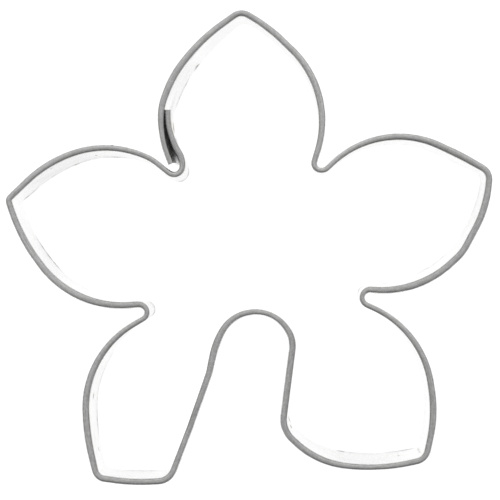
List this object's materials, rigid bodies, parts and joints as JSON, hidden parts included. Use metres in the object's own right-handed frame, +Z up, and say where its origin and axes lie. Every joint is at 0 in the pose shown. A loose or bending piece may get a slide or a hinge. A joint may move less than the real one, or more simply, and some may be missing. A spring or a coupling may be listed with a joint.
{
  "type": "cookie cutter",
  "caption": "Orchid-shaped cookie cutter: a strip of sheet steel bent round petals, with a rolled safety rim and its lapped ends spot welded.",
  "frame": {"origin": "under the middle of the outline's box, on the surface that the cutting edge stands on", "axes": "+X towards the right petal's side, +Y towards the single top petal, +Z up from the cutting edge to the rolled rim"},
  "size_m": [0.09, 0.0878, 0.025],
  "materials": {
    "bright_steel": "bright cold-rolled sheet, lightly worn",
    "welded_steel": "dull steel pressed by the electrodes, with a faint heat tint"
  },
  "bodies": {
    "root": {"cutter_strip": "bright_steel", "spot_weld_lower": "welded_steel", "spot_weld_upper": "welded_steel"}
  },
  "joints": []
}
